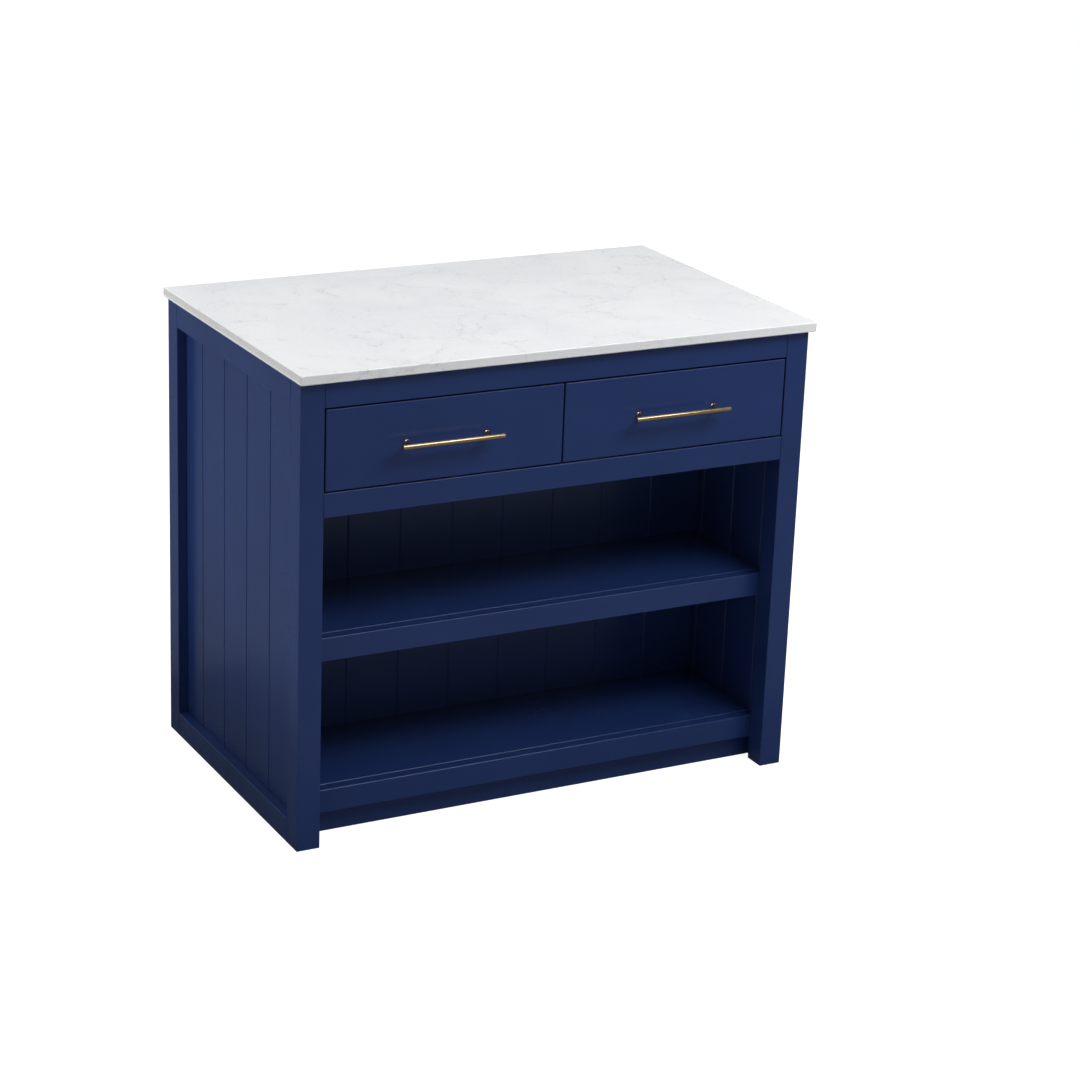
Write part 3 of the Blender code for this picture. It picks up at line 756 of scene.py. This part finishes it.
barHandle = {
    "barRadius": 0.005,
    "endRounding": (0.0, 0.00012, 0.0004, 0.0008),     # steps in from the end of the bar
    "endRadii": (0.0042, 0.0046, 0.0049, 0.005),
    "footRadius": 0.0042,
    "footSpacing": 0.160,
    "collarRadius": 0.0048,
    "collarDepth": 0.0016,
    "collarEasing": 0.0003,
    "smoothBelow": 32,             # degrees between faces that shade as one
}


def makeHandle(side):
    node = f"{side}_handle"
    low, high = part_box(node)
    middle = (low + high) / 2
    radius = barHandle["barRadius"]
    barY = low.y + radius
    half = (high.x - low.x) / 2
    starts = [(-half + inset, end) for inset, end in zip(barHandle["endRounding"], barHandle["endRadii"])]
    ends = [(-distance, end) for distance, end in reversed(starts)]
    bar = turnedMesh(camelName(node), starts + ends, (1, 0, 0), (middle.x, barY, middle.z))
    whole = bpy.data.objects.new(camelName(node), bar)
    scene.collection.objects.link(whole)
    reach = high.y - barY
    foot, collar = barHandle["footRadius"], barHandle["collarRadius"]
    shoulder = reach - barHandle["collarDepth"]
    ease = barHandle["collarEasing"]
    footProfile = [(0.0, foot * 0.5), (0.0005, foot), (shoulder - 2 * ease, foot), (shoulder, collar),
                   (reach - ease, collar), (reach, collar - ease)]
    feet = []
    for toward in (-1, 1):
        place = (middle.x + toward * barHandle["footSpacing"] / 2, barY, middle.z)
        stemMesh = turnedMesh("handleFoot", footProfile, (0, 1, 0), place, 40)
        stem = bpy.data.objects.new("handleFoot", stemMesh)
        scene.collection.objects.link(stem)
        union = whole.modifiers.new("foot", "BOOLEAN")
        union.operation = "UNION"
        union.solver = "EXACT"
        union.object = stem
        feet.append(stem)
    mesh = plainMesh(whole)
    for stem in feet:
        bpy.data.objects.remove(stem)
    mesh.shade_smooth()
    mesh.set_sharp_from_angle(angle=math.radians(barHandle["smoothBelow"]))
    addPiece(camelName(node), mesh, "brushed_brass", (node,))


for side in ("left", "right"):
    makeHandle(side)
print("kitchen island: bar handles turned")


def makeScrewTree():
    # a row of pan-head screws along a line, heads towards +Y, each with a cross recess
    tree, given, made = newGroup(
        "screwRow", "GeometryNodeTree",
        [("Start", vectorSocket, None), ("Step", vectorSocket, None), ("Count", intSocket, 2),
         ("Head Radius", floatSocket, 0.004), ("Head Height", floatSocket, 0.0024),
         ("Shank Radius", floatSocket, 0.002), ("Shank Length", floatSocket, 0.03),
         ("Recess Width", floatSocket, 0.0009), ("Material", materialSocket, None)],
        [("Geometry", geometrySocket)])

    def shifted(mesh, height):
        offset = addNode(tree, "ShaderNodeCombineXYZ", {2: height}).outputs[0]
        return addNode(tree, "GeometryNodeTransform", {"Geometry": mesh, "Translation": offset}).outputs[0]

    rimHeight = calc(tree, "MULTIPLY", given["Head Height"], 0.4)
    domeHeight = calc(tree, "MULTIPLY", given["Head Height"], 0.6)
    rim = addNode(tree, "GeometryNodeMeshCone",
                  {"Vertices": 20, "Radius Top": given["Head Radius"],
                   "Radius Bottom": given["Head Radius"], "Depth": rimHeight}).outputs[0]
    dome = addNode(tree, "GeometryNodeMeshCone",
                   {"Vertices": 20, "Radius Top": calc(tree, "MULTIPLY", given["Head Radius"], 0.6),
                    "Radius Bottom": given["Head Radius"], "Depth": domeHeight}).outputs[0]
    shank = addNode(tree, "GeometryNodeMeshCone",
                    {"Vertices": 14, "Radius Top": given["Shank Radius"],
                     "Radius Bottom": given["Shank Radius"], "Depth": given["Shank Length"]}).outputs[0]
    domeUp = shifted(dome, rimHeight)
    shankDown = shifted(shank, calc(tree, "MULTIPLY_ADD", given["Shank Length"], -1.0, 0.0001))
    body = addNode(tree, "GeometryNodeMeshBoolean", {}, operation="UNION", solver="EXACT")
    for part in (rim, domeUp, shankDown):
        tree.links.new(part, body.inputs["Mesh 2"])
    recessLength = calc(tree, "MULTIPLY", given["Head Radius"], 1.05)
    cutterHeight = calc(tree, "MULTIPLY", given["Head Height"], 1.1)
    head = addNode(tree, "GeometryNodeMeshBoolean", {"Mesh 1": body.outputs[0]},
                   operation="DIFFERENCE", solver="EXACT")
    for flip in (False, True):
        sizes = (given["Recess Width"], recessLength) if flip else (recessLength, given["Recess Width"])
        size = addNode(tree, "ShaderNodeCombineXYZ", {0: sizes[0], 1: sizes[1], 2: cutterHeight}).outputs[0]
        slotCutter = shifted(addNode(tree, "GeometryNodeMeshCube", {"Size": size}).outputs[0],
                             given["Head Height"])
        tree.links.new(slotCutter, head.inputs["Mesh 2"])
    line = addNode(tree, "GeometryNodeMeshLine",
                   {"Count": given["Count"], "Start Location": given["Start"], "Offset": given["Step"]},
                   mode="OFFSET").outputs[0]
    placed = addNode(tree, "GeometryNodeInstanceOnPoints",
                     {"Points": line, "Instance": head.outputs[0], "Rotation": (-math.pi / 2, 0.0, 0.0)})
    finishTree(tree, made, placed.outputs[0], given["Material"])
    return tree


screws = {
    "headRadius": 0.004,
    "headHeight": 0.0024,
    "shankRadius": 0.002,
    "recessWidth": 0.0009,
    "frontInset": 0.045,           # fixing screws of the drawer front, in from the box sides
    "frontDrop": 0.028,            # and in from the top and bottom of the box front
    "frontLength": 0.024,
}


def makeScrews(side, tree):
    nodes = [f"{side}_handle_left_screw", f"{side}_handle_right_screw"]
    boxes = [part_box(node) for node in nodes]
    centres = [(low + high) / 2 for low, high in boxes]
    seat = boxes[0][1].y - screws["headHeight"]
    common = {"Head Radius": screws["headRadius"], "Head Height": screws["headHeight"],
              "Shank Radius": screws["shankRadius"], "Recess Width": screws["recessWidth"],
              "Material": finishes["zinc_steel"]}
    rows = [growMesh("handleRow", tree, {
        **common, "Count": 2, "Shank Length": seat - boxes[0][0].y,
        "Start": (centres[0].x, seat, centres[0].z), "Step": (centres[1].x - centres[0].x, 0.0, 0.0)})]
    low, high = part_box(f"{side}_drawer_box_front")
    span = high.x - low.x - 2 * screws["frontInset"]
    for height in (low.z + screws["frontDrop"], high.z - screws["frontDrop"]):
        rows.append(growMesh("frontRow", tree, {
            **common, "Count": 2, "Shank Length": screws["frontLength"],
            "Start": (low.x + screws["frontInset"], seat, height), "Step": (span, 0.0, 0.0)}))
    addPiece(f"{side}DrawerScrews", joinMeshes(f"{side}DrawerScrews", rows), "zinc_steel", tuple(nodes))


screwTree = makeScrewTree()
for side in ("left", "right"):
    makeScrews(side, screwTree)
print("kitchen island: drawer screws set")


def makeBallTree():
    # a strip that holds a row of balls between two slide members
    tree, given, made = newGroup(
        "ballStrip", "GeometryNodeTree",
        [("Start", vectorSocket, None), ("Count", intSocket, 9), ("Pitch", floatSocket, 0.018),
         ("Ball Radius", floatSocket, 0.0016), ("Strip Width", floatSocket, 0.0046),
         ("Strip Thickness", floatSocket, 0.0006), ("Material", materialSocket, None)],
        [("Geometry", geometrySocket)])
    ball = addNode(tree, "GeometryNodeMeshUVSphere",
                   {"Segments": 10, "Rings": 6, "Radius": given["Ball Radius"]}).outputs[0]
    step = addNode(tree, "ShaderNodeCombineXYZ", {1: given["Pitch"]}).outputs[0]
    line = addNode(tree, "GeometryNodeMeshLine",
                   {"Count": given["Count"], "Start Location": given["Start"], "Offset": step},
                   mode="OFFSET").outputs[0]
    balls = addNode(tree, "GeometryNodeInstanceOnPoints", {"Points": line, "Instance": ball}).outputs[0]
    length = calc(tree, "MULTIPLY", given["Count"], given["Pitch"])
    size = addNode(tree, "ShaderNodeCombineXYZ",
                   {0: given["Strip Width"], 1: length, 2: given["Strip Thickness"]}).outputs[0]
    strip = addNode(tree, "GeometryNodeMeshCube", {"Size": size}).outputs[0]
    halfRun = calc(tree, "MULTIPLY", calc(tree, "SUBTRACT", given["Count"], 1.0),
                   calc(tree, "MULTIPLY", given["Pitch"], 0.5))
    toMiddle = addNode(tree, "ShaderNodeCombineXYZ", {1: halfRun}).outputs[0]
    middle = addNode(tree, "ShaderNodeVectorMath", {0: given["Start"], 1: toMiddle},
                     operation="ADD").outputs[0]
    placed = addNode(tree, "GeometryNodeTransform", {"Geometry": strip, "Translation": middle}).outputs[0]
    both = addNode(tree, "GeometryNodeJoinGeometry")
    tree.links.new(balls, both.inputs[0])
    tree.links.new(placed, both.inputs[0])
    finishTree(tree, made, both.outputs[0], given["Material"])
    return tree


ballRows = {
    "count": 9,
    "pitch": 0.018,
    "endInset": 0.020,             # from either end of the middle member
    "ballRadius": 0.0016,
    "stripWidth": 0.0046,
    "stripThickness": 0.0006,
    "channelWall": 0.0012,
}


def makeBalls(side, tree):
    rows = []
    for place in ("inner", "outer"):
        lows, highs = zip(*(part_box(f"{side}_drawer_{place}_slide_{member}")
                            for member in ("fixed", "middle", "moving")))
        run = (ballRows["count"] - 1) * ballRows["pitch"]
        starts = (highs[1].y - ballRows["endInset"] - run, lows[1].y + ballRows["endInset"])
        for outer, startY in zip((0, 1), starts):
            inner = outer + 1
            x = (max(lows[outer].x, lows[inner].x) + min(highs[outer].x, highs[inner].x)) / 2
            for up in (-1, 1):
                tips = (highs if up > 0 else lows)
                z = (tips[outer].z - up * ballRows["channelWall"] + tips[inner].z) / 2
                rows.append(growMesh("ballRow", tree, {
                    "Start": (x, startY, z), "Count": ballRows["count"], "Pitch": ballRows["pitch"],
                    "Ball Radius": ballRows["ballRadius"], "Strip Width": ballRows["stripWidth"],
                    "Strip Thickness": ballRows["stripThickness"], "Material": finishes["zinc_steel"]}))
    name = f"{side}SlideBalls"
    addPiece(name, joinMeshes(name, rows), "zinc_steel", (), f"{side}_slide_middles")


ballTree = makeBallTree()
for side in ("left", "right"):
    makeBalls(side, ballTree)
print("kitchen island: ball rows set")


viewpoint = {
    "target": (0.135, 0.0135, 0.420),
    "azimuth": -28.533,
    "elevation": 19.0955,
    "distance": 5.729,
    "lens": 95.8,
    "roll": 2.195,
}


def makeCamera():
    turn, rise = math.radians(viewpoint["azimuth"]), math.radians(viewpoint["elevation"])
    back = Vector((math.sin(turn) * math.cos(rise), -math.cos(turn) * math.cos(rise), math.sin(rise)))
    camera = bpy.data.objects.new("viewCamera", bpy.data.cameras.new("viewCamera"))
    scene.collection.objects.link(camera)
    camera.data.lens = viewpoint["lens"]
    camera.data.sensor_width = 36.0
    camera.data.clip_end = 100.0
    aim = (-back).to_track_quat("-Z", "Y").to_matrix().to_4x4()
    roll = Matrix.Rotation(math.radians(viewpoint["roll"]), 4, "Z")
    place = Vector(viewpoint["target"]) + back * viewpoint["distance"]
    camera.matrix_world = Matrix.Translation(place) @ aim @ roll
    scene.camera = camera


studio = {
    "skyTop": 0.34,
    "skySide": 0.20,
    "skyLow": 0.05,
    "floorHalf": 14.0,
    "floorBounce": (0.62, 0.62, 0.62, 1),
    "floorPale": (0.40, 0.40, 0.40, 1),
    "floorGlow": 0.90,
    "nearGloss": 0.07,             # how bright the floor looks in the paint, close by,
    "leftGloss": 0.105,            # further out on the left, where the light backdrop starts,
    "frontGloss": 0.10,            # and further out in front
    "glossTint": (0.93, 1.0, 0.99, 1),
    "glossFrom": 0.21,
    "glossTo": 0.33,
}


def makeWorld():
    world = bpy.data.worlds.new("studio")
    scene.world = world
    world.use_nodes = True
    tree = world.node_tree
    tree.nodes.clear()
    direction = addNode(tree, "ShaderNodeTexCoord").outputs["Generated"]
    height = addNode(tree, "ShaderNodeSeparateXYZ", {0: direction}).outputs[2]
    low = remap(tree, height, -0.10, 0.12, studio["skyLow"], studio["skySide"])
    high = remap(tree, height, 0.12, 1.0, 0.0, studio["skyTop"] - studio["skySide"])
    strength = calc(tree, "ADD", low, high)
    soft = addNode(tree, "ShaderNodeBackground", {"Strength": strength})
    plain = addNode(tree, "ShaderNodeBackground", {"Strength": 1.0})
    for node in (soft, plain):
        node.inputs["Color"].default_value = (1, 1, 1, 1)
    seen = addNode(tree, "ShaderNodeLightPath").outputs["Is Camera Ray"]
    mixed = addNode(tree, "ShaderNodeMixShader", {0: seen, 1: soft.outputs[0], 2: plain.outputs[0]})
    out = addNode(tree, "ShaderNodeOutputWorld")
    tree.links.new(mixed.outputs[0], out.inputs["Surface"])


def stageSheet(name, corners):
    mesh = bpy.data.meshes.new(name)
    mesh.from_pydata(corners, [], [(0, 1, 2, 3)])
    sheet = bpy.data.objects.new(name, mesh)
    scene.collection.objects.link(sheet)
    return sheet


def makeFloor():
    half = studio["floorHalf"]
    corners = [(-half, -half, 0), (half, -half, 0), (half, half, 0), (-half, half, 0)]
    floor = stageSheet("paleFloor", corners)
    material = bpy.data.materials.new("paleFloor")
    material.use_nodes = True
    tree = material.node_tree
    tree.nodes.clear()
    path = addNode(tree, "ShaderNodeLightPath").outputs
    pale = addNode(tree, "ShaderNodeBsdfDiffuse", {"Color": studio["floorPale"]}).outputs[0]
    glow = addNode(tree, "ShaderNodeEmission", {"Strength": studio["floorGlow"]}).outputs[0]
    shown = addNode(tree, "ShaderNodeAddShader", {0: pale, 1: glow}).outputs[0]
    bounce = addNode(tree, "ShaderNodeBsdfDiffuse", {"Color": studio["floorBounce"]}).outputs[0]
    spot = addNode(tree, "ShaderNodeSeparateXYZ",
                   {0: addNode(tree, "ShaderNodeTexCoord").outputs["Object"]})
    outLeft = calc(tree, "SUBTRACT", cadBox[0].x, spot.outputs[0])
    outFront = calc(tree, "SUBTRACT", calc(tree, "ABSOLUTE", spot.outputs[1]), cadBox[1].y)
    left = remap(tree, outLeft, studio["glossFrom"], studio["glossTo"], 0.0, studio["leftGloss"])
    front = remap(tree, outFront, studio["glossFrom"], studio["glossTo"], 0.0, studio["frontGloss"])
    sheen = calc(tree, "ADD", calc(tree, "MAXIMUM", left, front), studio["nearGloss"])
    dim = addNode(tree, "ShaderNodeEmission", {"Color": studio["glossTint"], "Strength": sheen}).outputs[0]
    unseen = addNode(tree, "ShaderNodeMixShader", {0: path["Is Glossy Ray"], 1: bounce, 2: dim}).outputs[0]
    mixed = addNode(tree, "ShaderNodeMixShader", {0: path["Is Camera Ray"], 1: unseen, 2: shown}).outputs[0]
    out = addNode(tree, "ShaderNodeOutputMaterial")
    tree.links.new(mixed, out.inputs["Surface"])
    floor.data.materials.append(material)


softLights = {
    "topBank": {"place": (0.0, 0.1, 3.2), "aim": (0.0, 0.0, 0.9), "size": (3.4, 2.3), "power": 35.0,
                "glossy": False},
    "leftBank": {"place": (-2.3, 0.5, 1.7), "aim": (-0.5, 0.0, 0.7), "size": (1.3, 0.28), "power": 27.0,
                 "glossy": False},
    "frontBank": {"place": (1.1, -1.75, 2.6), "aim": (0.1, -0.3, 0.7), "size": (1.5, 0.9), "power": 50.0,
                  "glossy": False},
    "backBank": {"place": (-1.4, 2.8, 1.8), "aim": (0.0, 0.3, 0.5), "size": (1.6, 1.0), "power": 20.0,
                 "glossy": False},
    "rightBank": {"place": (2.8, -0.3, 1.5), "aim": (0.5, 0.0, 0.5), "size": (1.2, 1.0), "power": 14.0},
    "metalCard": {"place": (-0.1, -1.55, 2.6), "aim": (0.0, -0.3, 0.7), "size": (3.4, 0.7), "power": 36.0,
                  "diffuse": False},
}


def makeLights():
    # a lamp with glossy False isn't mirrored, and one with diffuse False only shows in the shine
    for name, values in softLights.items():
        data = bpy.data.lights.new(name, "AREA")
        data.shape = "RECTANGLE"
        data.size, data.size_y = values["size"]
        data.energy = values["power"]
        lamp = bpy.data.objects.new(name, data)
        scene.collection.objects.link(lamp)
        lamp.location = values["place"]
        lamp.visible_camera = False
        lamp.visible_glossy = values.get("glossy", True)
        lamp.visible_diffuse = values.get("diffuse", True)
        lamp.rotation_mode = "QUATERNION"
        toward = Vector(values["aim"]) - Vector(values["place"])
        lamp.rotation_quaternion = toward.to_track_quat("-Z", "Y")


lightFlag = {"x": -1.30, "y": (-1.2, 1.8), "z": (0.40, 0.86)}


def makeFlag():
    # a card beside the left light that lets it fall off towards the foot of the side
    (yLow, yHigh), (zLow, zHigh) = lightFlag["y"], lightFlag["z"]
    places = ((yLow, zLow), (yHigh, zLow), (yHigh, zHigh), (yLow, zHigh))
    card = stageSheet("lightFlag", [(lightFlag["x"], y, z) for y, z in places])
    card.visible_camera = False
    card.visible_glossy = False


makeCamera()
makeWorld()
makeFloor()
makeLights()
makeFlag()
scene.view_settings.view_transform = "Standard"
scene.view_settings.look = "None"
scene.view_settings.exposure = 0.0
scene.view_settings.gamma = 1.0
print("kitchen island: camera, floor and lights placed")

print("kitchen island: done")
